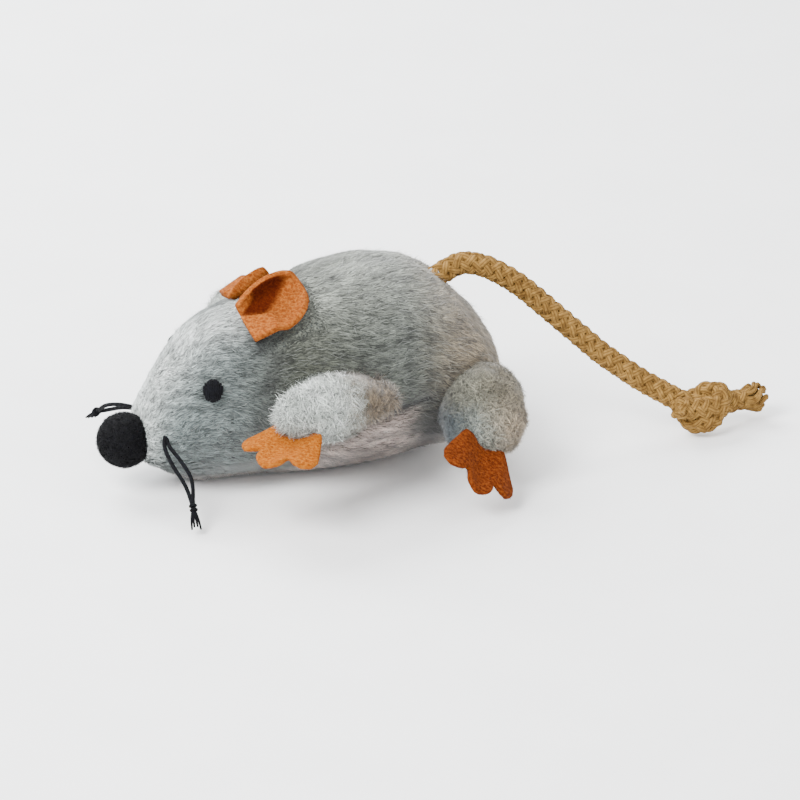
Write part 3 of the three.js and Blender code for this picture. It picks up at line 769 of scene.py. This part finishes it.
def body_length(p):
    """The pile is shorter on the muzzle and longer towards the rump."""
    x = p[:, 0] / MM
    return (2.7 - 0.9 * step(-x, 24, 36) + 0.5 * step(x, 10, 30)) * MM


NOSE_LOW, NOSE_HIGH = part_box("nose_pompom")
NOSE, NOSE_RADIUS = (NOSE_LOW + NOSE_HIGH) / 2, (NOSE_HIGH - NOSE_LOW).x / 2
EYES = {side: sum(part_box(f"{side}_eye"), Vector()) / 2 for side in ("left", "right")}


def clear_of_nose(p):
    return np.linalg.norm(p - np.array(NOSE), axis=1) > NOSE_RADIUS * 0.97


def clear_of_eyes(p, clearance):
    return np.min([np.linalg.norm(p - np.array(e), axis=1) for e in EYES.values()], axis=0) > clearance


# The near ear's own directions: towards the crown, along the ear, and out of its hollow
EAR_BASE = mm(-13.0, -9.4, 38.2)
EAR_AXES = np.array([(-0.1297, 0.9081, 0.3982), (0.9007, -0.06, 0.4303), (-0.4147, -0.4145, 0.8101)])


def ear_trim(p):
    """The pile is pressed short under the ears."""
    near_side = np.column_stack([p[:, 0], -np.abs(p[:, 1]), p[:, 2]])
    local = (near_side - EAR_BASE) @ EAR_AXES.T / MM
    over = step(7.5 - np.abs(local[:, 0]), 0, 1.5) * step(local[:, 1], -1.5, 0) * step(16 - local[:, 1], 0, 2)
    return 1 - 0.72 * over * (local[:, 2] > -8)


BELLY_TOP = BELLY_SEAM - 1 * MM  # where the belly's pale pile ends
BODY_ZONES = {"head": (46000, -60, -8), "flank": (52000, -8, 19), "rump": (48000, 19, 60)}
BELLY_STRANDS, GUARD_HAIRS = 26000, 9000


def body_pile(name, count, where, material):
    """Pile over one part of the body, mottled, with painted shade along the back seam on the head, where the
    pile parts.
    """
    p, n = scatter(body_mesh, count, lambda q: where(q) & clear_of_nose(q))
    kept = clear_of_eyes(p, 1.9 * MM)
    p, n = p[kept], n[kept]
    # painted shade along the back seam over the head
    seam_shade = 1 - 0.45 * bell(back_seam(p), 0.7 * MM) * step(-p[:, 0], 14 * MM, 22 * MM)
    mottle = 1 + 0.34 * waves(p, 1.3, 3.4, 44, 2.6) + 0.12 * waves(p, 6, 14, 16, 1.5)
    colour = body_colour(p, n) * (seam_shade * mottle).clip(0.3, 1.9)[:, None]
    pile(name, p, n, body_comb(p), body_length(p) * ear_trim(p), 0.62, 0.23 * MM,
         tones(p, colour, 0.42, dark=0.32, pale=1.22), material, "mouse", lock=16, pull=0.6)


for side, sign in (("left", -1), ("right", 1)):
    for zone, (count, start, end) in BODY_ZONES.items():
        def in_zone(q):
            on_side = (q[:, 1] * sign > 0) & (q[:, 2] > BELLY_TOP)
            return on_side & (q[:, 0] > start * MM) & (q[:, 0] <= end * MM)

        body_pile(f"{side}_{zone}_pile", count, in_zone, GREY_HAIR)
body_pile("belly_pile", BELLY_STRANDS, lambda q: (q[:, 2] <= BELLY_TOP) & (q[:, 2] > 1.2 * MM),
          PALE_HAIR)


def guard_hairs():
    """Single longer, paler hairs that stand up out of the pile."""
    p, n = scatter(body_mesh, GUARD_HAIRS, lambda q: (q[:, 2] > BELLY_TOP) & clear_of_nose(q))
    kept = (ear_trim(p) > 0.99) & clear_of_eyes(p, 3 * MM)
    p, n = p[kept], n[kept]
    colour = body_colour(p, n) * 0.85 + 0.15 * np.array(HALO)
    pile("guard_hairs", p, n, body_comb(p), body_length(p) * 1.3, 0.8, 0.09 * MM,
         tones(p, colour, 0.2, dark=0.7, pale=1.1), GREY_HAIR, "mouse",
         lock=2, pull=0.2, stray=0.35)


guard_hairs()


# ---- legs

LEG_STRANDS = 36000
INNER_STRETCH = 1.75  # a bag reaches further in towards the body than its CAD solid, so no gap shows
NEAR_LEG_AHEAD, NEAR_LEG_BEHIND, NEAR_LEG_RAISE = 1.26, 1.08, 1.6
HAUNCH_SIZE = [1.26, 1.0, 1.3]
HAUNCH_SHIFT = mm(1.9, 0, 0.8)
HAUNCH_LEAN = mm(1.4, -5.0, 1.6)  # its top leans back, in and up


def leg_shape(p, middle, half, end, sign):
    """The bag's form from the plain CAD one: the front leg narrows towards the tail, and the
    haunch is fuller and leans up into the rump."""
    q = p - middle
    q[:, 1] *= np.where(q[:, 1] * sign < 0, INNER_STRETCH, 1.0)
    if end == "front":
        back_part = step(q[:, 0], -0.15 * half[0], half[0])
        if sign < 0:  # the near leg reaches further forward and is carried higher
            q[:, 0] *= np.where(q[:, 0] < 0, NEAR_LEG_AHEAD, NEAR_LEG_BEHIND)
            q[:, 2] += (NEAR_LEG_RAISE - 0.4 * back_part) * MM
        q[:, 2] -= 0.62 * back_part * (q[:, 2] - 1.8 * MM)
        q[:, 1] *= 1 - 0.25 * back_part
        return middle + q
    q *= HAUNCH_SIZE
    q += HAUNCH_SHIFT
    rise = step(q[:, 2], -0.3 * half[2], 1.1 * half[2])
    return middle + q + rise[:, None] * HAUNCH_LEAN * [1, sign, 1]


def leg(side, end, colour, length, lift, backing, hair):
    """A stuffed leg bag with its pile combed away from the middle of the bag."""
    node, body = f"{side}_{end}_leg", f"{end}_leg_{side}"
    sign = -1 if side == "left" else 1
    low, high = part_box(node)
    middle, half = np.array(low + high) / 2, np.array(high - low) / 2
    mesh = bag_mesh([node], 0.9 * MM)
    p = vertices(mesh)
    sewn_side = (p[:, 1] * sign < (middle[1] * sign - 0.5 * half[1])).astype(float)
    inflate(mesh, sewn_side, 2.0, 0.5 * MM)
    p = leg_shape(vertices(mesh), middle, half, end, sign)
    move_to(mesh, p + normals(mesh) * (0.35 * MM * waves(p, 4, 8, 10))[:, None])
    bag = place(f"{node}_bag", mesh, backing, body)
    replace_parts(bag, node)
    p, n = scatter(mesh, LEG_STRANDS)
    out = p - middle
    sway = np.column_stack([waves(p, 5, 9, 9), 0 * p[:, 0], waves(p, 5, 9, 8)])
    if end == "front":
        comb = (out + mm(2, 0, -1.5)) * [1, 0.2, 0.9] + 1.6 * MM * sway
    else:
        comb = out * [0.25, 0.2, 0.25] + mm(5, 0, -4.0) + 1.0 * MM * sway
    mottle = (1 + 0.28 * waves(p, 1.2, 3.2, 36)).clip(0.4, 1.7)
    pile(f"{node}_pile", p, n, comb, length, lift, 0.16 * MM,
         tones(p, colour(p, middle) * mottle[:, None], 0.4, dark=0.3, pale=1.25),
         hair, body, lock=14, pull=0.45, stray=0.16)


def front_leg_colour(p, middle):
    """Pale, greyer in patches and below, and tan towards the tail."""
    patches = 0.25 + 0.3 * waves(p, 3, 7, 14).clip(-0.8, 1)
    back_part = step(p[:, 0] - middle[0] + 1.5 * MM * waves(p, 3, 7, 12), -1 * MM, 5 * MM)
    return blend_colours(
        evenly(linear(190, 196, 190), len(p)),
        (patches, linear(132, 138, 130)),
        (step(middle[2] - p[:, 2], 0, 5 * MM) * 0.5, linear(112, 116, 108)),
        (back_part * 0.95, linear(98, 80, 56)),
    )


def hind_leg_colour(p, middle):
    """Grey, beige behind, painted shade in front and darker on top."""
    return blend_colours(
        evenly(linear(124, 130, 122), len(p)),
        (step(p[:, 0] - middle[0], -2 * MM, 7 * MM) * 0.85, linear(142, 124, 100)),
        # painted shade on the front of the haunch, towards the hollow by the belly
        (step(middle[0] - p[:, 0], -1 * MM, 6 * MM) * 0.95, linear(52, 60, 66)),
        (step(p[:, 2] - middle[2], 1 * MM, 7 * MM) * 0.75, linear(98, 94, 78)),
    )


for side in ("left", "right"):
    leg(side, "front", front_leg_colour, 5.4 * MM, 0.42, PALE_BACKING, PALE_HAIR)
    leg(side, "hind", hind_leg_colour, 3.6 * MM, 0.5, BACKING, GREY_HAIR)


# ---- felt

FELT = 1.4 * MM
EAR_FUZZ, PAW_FUZZ = 1200, 1300


def darken(mesh, share):
    """Stores how much of the felt's colour is left under painted shade at each point."""
    shown = np.concatenate([share, np.ones((len(share), 1))], 1).astype(np.float32)
    held = mesh.color_attributes.get("hollow") or mesh.color_attributes.new("hollow", "FLOAT_COLOR", "POINT")
    held.data.foreach_set("color", shown.ravel())


def felt_sheet(name, net, material, body):
    """A sheet of felt through a net of points, with rounded cut edges, and its flat size."""
    rows = [smooth_line(row, 26) for row in net]
    grid = np.array([smooth_line(column, 26) for column in np.swapaxes(np.array(rows), 0, 1)])
    count = grid.shape[0]
    faces = [(i * count + j, (i + 1) * count + j, (i + 1) * count + j + 1, i * count + j + 1)
             for i in range(count - 1) for j in range(count - 1)]
    mesh = bpy.data.meshes.new(name)
    mesh.from_pydata(grid.reshape(-1, 3).tolist(), [], faces)
    flat = [run_along(grid[:, count // 2])[-1], run_along(grid[count // 2])[-1]]
    mesh = with_modifier(mesh, "SOLIDIFY", thickness=FELT, offset=0.0)
    mesh = with_modifier(mesh, "BEVEL", width=0.3 * MM, segments=2, limit_method="ANGLE", angle_limit=1.0)
    darken(mesh, np.ones((len(mesh.vertices), 3)))
    return place(name, mesh, material, body), flat


def felt_fuzz(name, piece, colour, body, count, keep=lambda p: np.full(len(p), True)):
    """Loose fibres standing off the felt."""
    p, n = scatter(piece.data, count)
    p, n = p[keep(p)], n[keep(p)]
    count = len(p)
    pile(name, p, n, rng.normal(0, 1, (count, 3)), 0.55 * MM, 0.9, 0.05 * MM,
         tones(p, evenly(colour, count), 0.2, dark=0.9, pale=1.15), FELT_HAIR, body,
         lock=1, pull=0.0, stray=1.0)


# The near ear's net, millimetres, base to rim, in the ear's own directions. Each row runs from the top
# edge of the standing leaf, down its inner wall to the floor, and across to the outer edge
EAR_NET = [
    [(4.9, 0.3, 2.4), (4.4, 0.2, 1.3), (3.2, 0.2, 0.4), (1.0, 0.2, 0.3), (-2.6, 0.3, 0.5), (-6.0, 0.4, 0.7)],
    [(5.4, 4.2, 4.2), (5.2, 4.0, 2.0), (3.9, 3.8, 0.2), (0.9, 3.7, -0.3), (-2.8, 3.8, 0.2), (-6.3, 4.2, 0.9)],
    [(5.6, 8.4, 5.2), (5.5, 8.2, 2.4), (4.2, 7.8, 0.3), (0.9, 7.7, -0.4), (-3.0, 7.9, 0.3), (-6.5, 8.2, 1.2)],
    [(5.2, 12.2, 5.0), (5.4, 12.2, 2.8), (4.0, 12.0, 0.9), (0.7, 11.9, 0.1), (-2.9, 11.7, 0.8),
     (-6.1, 11.2, 1.7)],
    [(4.4, 14.4, 4.3), (4.2, 15.0, 3.1), (2.8, 15.4, 1.9), (0.2, 15.6, 1.4), (-2.4, 15.1, 1.8),
     (-4.9, 13.6, 2.3)],
]
EAR_SIZE = {"left": [1, 1, 1], "right": [0.95, 0.7, 0.62]}  # the far ear is folded flatter and lies shorter
EAR_SEAT = {"left": mm(0.7, 2.25, -1.1), "right": mm(1.0, 1.0, -1.6)}  # from the base into the plush
# The painted shade in the ear's hollow.
HOLLOW_SHADE = np.array([0.76, 0.89, 0.95])  # how much red, green and blue the hollow loses


def ear_hollow(local, facing, flap):
    """How far inside the folded ear's hollow each point of the felt is, from 0 to 1, on its inner wall and
    floor: the share of painted shade it gets.
    """
    across, along = local[:, 0], local[:, 1]
    edge = np.maximum(2.3 - 0.42 * along, 0.2 + 0.56 * (along - 6))
    crest = np.where(along < 6, 2.7 + 0.45 * along, 9.0)
    inside = step(across, edge - 0.6, edge + 1.5) * step(crest - across, -0.3, 0.3)
    inside = inside * (1 - flap) * step(15.4 - along, 0, 1.5)
    inner_wall = step(-facing[:, 0], 0.2, 0.6)
    floor = step(1.6 - local[:, 2], 0, 0.6) * (facing[:, 2] > 0)
    return inside * np.maximum(inner_wall, floor)


def ear(side):
    """A folded felt ear with a flap turned over at its base and painted shade in its hollow."""
    flip = np.array([1, 1 if side == "left" else -1, 1])
    base = EAR_BASE + EAR_SEAT[side]
    net = np.array(EAR_NET) * EAR_SIZE[side]
    leaf, flat = felt_sheet(f"{side}_ear_leaf", (base + MM * net @ EAR_AXES) * flip, EAR_FELT,
                            f"ear_{side}")
    local = ((vertices(leaf.data) * flip - base) @ EAR_AXES.T) / MM
    facing = (normals(leaf.data) * flip) @ EAR_AXES.T
    flap = step(2.3 - 0.42 * local[:, 1] - local[:, 0], -0.3, 0.5) * step(8.5 - local[:, 1], 0, 2.5)
    local[:, 2] += 1.5 * flap
    inside = ear_hollow(local, facing, flap)
    move_to(leaf.data, (base + MM * local @ EAR_AXES) * flip)
    # painted shade on the hollow's inner wall and floor
    darken(leaf.data, 1 - inside[:, None] * HOLLOW_SHADE)
    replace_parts(leaf, f"{side}_ear")
    dark = [Vector(q) for q in vertices(leaf.data)[inside > 0.1]]
    tree = KDTree(len(dark))
    for i, q in enumerate(dark):
        tree.insert(q, i)
    tree.balance()
    felt_fuzz(f"{side}_ear_fuzz", leaf, linear(138, 80, 32), f"ear_{side}", EAR_FUZZ,
              lambda p: np.array([tree.find(q)[2] > 0.7 * MM for q in p]))


ear("left")
ear("right")

PAW_EDGE = 4.6  # half the sewn edge, millimetres, as are the toes' places and radii
PAW_TOES = [(-5.4, 6.6, 2.6), (0.0, 8.8, 2.9), (5.4, 6.6, 2.6)]


def paw_outline():
    """A felt paw's outline in its own plane: a sewn edge and three round toes."""
    points = [(-PAW_EDGE, 0.0)]
    for x, y, radius in PAW_TOES:
        for angle in np.linspace(200, -20, 9):
            turn = math.radians(angle - x * 4)
            points.append((x + radius * math.cos(turn), y + radius * math.sin(turn)))
    return [*points, (PAW_EDGE, 0.0)]


def paw_mesh():
    """A paw as it is cut, flat, with its edges softened."""
    sketch = bmesh.new()
    sole = sketch.faces.new([sketch.verts.new((x * MM, y * MM, 0)) for x, y in paw_outline()])
    made = bmesh.ops.extrude_face_region(sketch, geom=[sole])
    for v in (v for v in made["geom"] if isinstance(v, bmesh.types.BMVert)):
        v.co.z += FELT
    bmesh.ops.recalc_face_normals(sketch, faces=sketch.faces)
    mesh = bpy.data.meshes.new("paw")
    sketch.to_mesh(mesh)
    sketch.free()
    mesh = with_modifier(mesh, "REMESH", mode="VOXEL", voxel_size=0.32 * MM, use_smooth_shade=True)
    return with_modifier(mesh, "SMOOTH", factor=0.5, iterations=3)


def paw(side, end, edge, toes, face, size, curl, material, fuzz):
    """A felt paw sewn on at edge, with its toes pointing along toes and a little curled."""
    mirror = np.array([1, 1 if side == "left" else -1, 1])
    along = unit(np.array(toes, float))
    out = np.array(face, float)
    out = unit(out - along * np.dot(out, along))
    across = np.cross(along, out)
    mesh = paw_mesh()
    p = vertices(mesh) * [size, size, 1]
    bend = curl * (p[:, 1] / MM / 10) ** 2 - 0.5 * np.cos(p[:, 0] / MM * 0.6)
    p[:, 2] += bend * MM
    darken(mesh, np.ones((len(p), 3)))
    shown = (mm(*edge) + p[:, :1] * across + p[:, 1:2] * along + p[:, 2:] * out) * mirror
    if mirror[1] < 0:
        mesh.flip_normals()
    move_to(mesh, shown)
    name = f"{side}_{end}_paw"
    made = place(f"{name}_felt", mesh, material, f"{end}_leg_{side}")
    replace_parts(made, name)
    felt_fuzz(f"{name}_fuzz", made, fuzz, f"{end}_leg_{side}", PAW_FUZZ)


# The near front paw lies flat with its toes forward; the far one hangs against its leg
FRONT_FUZZ, HIND_FUZZ = linear(146, 84, 22), linear(104, 48, 10)
paw("left", "front", (-6.4, -31.6, 21.2), (-0.777, -0.559, -0.285), (-0.24, -0.156, 0.957), 1.24, 0.8,
    ORANGE_FELT, FRONT_FUZZ)
paw("right", "front", (-5.4, -30.4, 19.2), (-0.7, -0.16, -0.66), (-0.24, -0.86, 0.46), 1.0, 0.8,
    ORANGE_FELT, FRONT_FUZZ)
for side in ("left", "right"):
    paw(side, "hind", (34.9, -30.6, 12.8), (-0.365, -0.818, -0.44), (0.513, -0.571, 0.636), 1.26, 0.6,
        RUST_FELT, HIND_FUZZ)


# ---- face

def ball_mesh(centre, radius, rough):
    """A ball with an uneven surface."""
    made = bmesh.new()
    bmesh.ops.create_icosphere(made, subdivisions=4, radius=1)
    mesh = bpy.data.meshes.new("ball")
    made.to_mesh(mesh)
    made.free()
    d = unit(vertices(mesh))
    coarse = np.sin(d[:, 0] * 9 + 4 * d[:, 1]) * np.sin(d[:, 2] * 8)
    fine = 0.5 * np.sin(d[:, 1] * 17 + d[:, 2] * 9)
    uneven = 1 + rough * (coarse + fine)
    move_to(mesh, np.array(centre) + d * uneven[:, None] * radius)
    return mesh


def pompom(turns=64, loose_ends=14000):
    """Wool wound and rubbed into a ball, with loose ends."""
    core = ball_mesh(NOSE, NOSE_RADIUS * 0.98, 0.02)
    wool = backing_material("black_wool", linear(1, 1, 2), linear(6, 6, 10))
    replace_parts(place("pompom_core", core, wool, "mouse"), "nose_pompom")
    winding = Piece()
    for _ in range(turns):
        pole = unit(rng.normal(0, 1, 3))
        a = unit(np.cross(pole, rng.normal(0, 1, 3)))
        b = np.cross(pole, a)
        turn = np.linspace(0, rng.uniform(1.2, 3.2), 18)[:, None]
        ring = unit(np.cos(turn) * a + np.sin(turn) * b + pole * rng.uniform(-0.5, 0.5))
        winding.tube(np.array(NOSE) + ring * NOSE_RADIUS * rng.uniform(1.0, 1.04), 0.2 * MM, 5)
    winding.object("pompom_winding", BLACK_YARN, "mouse", "black_wool")
    p, n = scatter(core, loose_ends)
    pile("pompom_wool", p, n, rng.normal(0, 1, p.shape), 1.3 * MM, 0.9, 0.09 * MM,
         tones(p, evenly(linear(7, 7, 11), len(p)), 0.5), WOOL_HAIR, "mouse",
         lock=4, pull=0.5, stray=0.8)


def stitched_eye(side, mirror, sunk, radius=2.15 * MM, stitches=12, wisps=260):
    """Satin stitches laid side by side over a padded dot, sunk into the pile."""
    out = unit(np.array([-0.25, -0.82 * mirror, 0.5]))
    centre = np.array(EYES[side]) - out * sunk
    across = unit(np.cross(out, [0, 0, 1.0]))
    up = np.cross(across, out)
    eye = Piece()
    for offset in np.linspace(-0.92, 0.92, stitches):
        half = math.sqrt(1 - offset**2)
        t = np.linspace(-1.15, 1.15, 15)[:, None]
        high = np.sqrt(np.maximum(1.45 - (t * half) ** 2 - offset**2, 0.05)) * 0.55
        lean = 0.05 * np.sin(offset * 9)
        line = centre + radius * (across * (offset + lean * t) + up * t * half + out * (high - 0.25))
        eye.tube(line, 0.24 * MM, 7)
    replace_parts(eye.object(f"{side}_eye_stitches", BLACK_YARN, "mouse", "black_wool"), f"{side}_eye")
    ring = rng.uniform(0, 2 * math.pi, wisps)[:, None]
    p = centre + radius * 0.95 * (np.cos(ring) * across + np.sin(ring) * up) + out * 0.3 * MM
    pile(f"{side}_eye_wisps", p, evenly(out, wisps), p - centre, 0.7 * MM, 0.5, 0.06 * MM,
         tones(p, evenly(linear(5, 5, 8), wisps), 0.4), WOOL_HAIR, "mouse",
         lock=1, pull=0.0, stray=0.6)


pompom()
stitched_eye("left", 1, 0.2 * MM)
stitched_eye("right", -1, 1.9 * MM)

# Each whisker is a loop of thread: the routes of its two halves, and where its tuft ends
WHISKERS = {
    "left": [
        [(-32.2, -11.4, 15.6), (-33.2, -14.6, 14.0), (-32.6, -18.4, 11.4), (-31.0, -23.2, 8.2),
         (-30.6, -28.0, 5.0)],
        [(-32.0, -11.4, 15.4), (-32.2, -14.6, 14.2), (-31.0, -18.4, 12.6), (-29.6, -23.2, 9.6),
         (-30.6, -28.0, 5.0)],
    ],
    "right": [
        [(-34.4, 6.8, 14.6), (-36.6, 10.4, 13.9), (-38.6, 14.4, 12.1), (-39.6, 18.6, 8.8)],
        [(-34.2, 6.8, 14.2), (-35.8, 11.2, 12.6), (-37.4, 15.2, 10.6), (-39.6, 18.6, 8.8)],
    ],
}
WHISKER_TIPS = {"left": (-30.8, -31.6, 1.6), "right": (-40.0, 21.8, 6.0)}


def whisker(side):
    """A thread loop, the two turns of its knot, and four cut ends."""
    thread = Piece()
    knot_at = mm(*WHISKERS[side][0][-1])
    tip = mm(*WHISKER_TIPS[side])
    down = unit(tip - knot_at)
    across = unit(np.cross(down, [0, 1, 0.3]))
    for strand in WHISKERS[side]:
        thread.tube(smooth_line([mm(*q) for q in strand], 30), 0.46 * MM, 8)
    turn = np.linspace(0, 2 * math.pi, 22)[:, None]
    for lean in (0.5, -0.5):
        ring = 0.62 * MM * (np.cos(turn) * across + np.sin(turn) * np.cross(down, across))
        thread.tube(knot_at + ring + down * lean * MM, 0.34 * MM, 7)
    for spread in (-1.6, -0.7, 0.3, 1.2):
        end = tip + across * spread * 0.75 * MM + down * rng.uniform(-0.6, 0.3) * MM
        middle = (knot_at + end) / 2 + across * spread * 0.15 * MM
        thread.tube(smooth_line([knot_at, middle, end], 12), np.linspace(0.38, 0.22, 12) * MM, 7)
    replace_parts(thread.object(f"{side}_whisker_thread", BLACK_YARN, "mouse", "black_wool"), f"{side}_whisker")


whisker("left")
whisker("right")


# ---- CAD pieces that stay

LEGS = [f"{side}_{end}_leg" for side in ("left", "right") for end in ("front", "hind")]
KEPT = {
    WADDING: ["head_stuffing", "body_stuffing"] + [f"{node}_stuffing" for node in LEGS],
    CASE: ["motor_case_left", "motor_case_right"],
    EYELET: ["tail_eyelet"],
    GEARS: ["pull_drum", "idler_gear", "weight_pinion"],
    STEEL: ["mainspring", "drum_shaft", "idler_shaft", "weight_shaft", "off_centre_weight"]
    + [f"case_screw_{i}" for i in range(1, 5)],
    CORD_WEAVE: ["cord_winding"],
}
for material, names in KEPT.items():
    for name in names:
        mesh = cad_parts[name].data
        mesh.materials.clear()
        mesh.materials.append(material)


# ---- table and light

REACH, LEVEL = 3, -0.3 * MM
corners = [(x * REACH, y * REACH, LEVEL) for x, y in ((-1, -1), (1, -1), (1, 1), (-1, 1))]
table_mesh = bpy.data.meshes.new("table")
table_mesh.from_pydata(corners, [], [(0, 1, 2, 3)])
table = bpy.data.objects.new("table", table_mesh)
bpy.context.collection.objects.link(table)
paper = Nodes("paper", roughness=0.9)
paper.colour(paper.ramp(paper.noise(40, 2), (0.4, (0.93, 0.93, 0.93)), (0.6, (0.95, 0.95, 0.95))))
table_mesh.materials.append(paper.material)

world = bpy.data.worlds.new("studio")
world.use_nodes = True
sky = world.node_tree.nodes["Background"].inputs
sky["Color"].default_value = (0.96, 0.98, 1.0, 1)
sky["Strength"].default_value = 1.3
bpy.context.scene.world = world


def softbox(name, at, size, watts, colour=(1, 1, 1)):
    light = bpy.data.lights.new(name, "AREA")
    light.energy, light.size, light.color = watts, size, colour
    made = bpy.data.objects.new(name, light)
    bpy.context.collection.objects.link(made)
    made.location = Vector(mm(*at))
    made.rotation_mode = "QUATERNION"
    made.rotation_quaternion = (Vector(LOOK_AT) - made.location).to_track_quat("-Z", "Y")


softbox("key", (-420, -240, 560), 0.35, 11.0)
softbox("fill", (420, -300, 300), 0.5, 2.0, (1, 0.98, 0.95))
softbox("rim", (-120, 420, 420), 0.4, 8.0, (0.97, 0.99, 1))
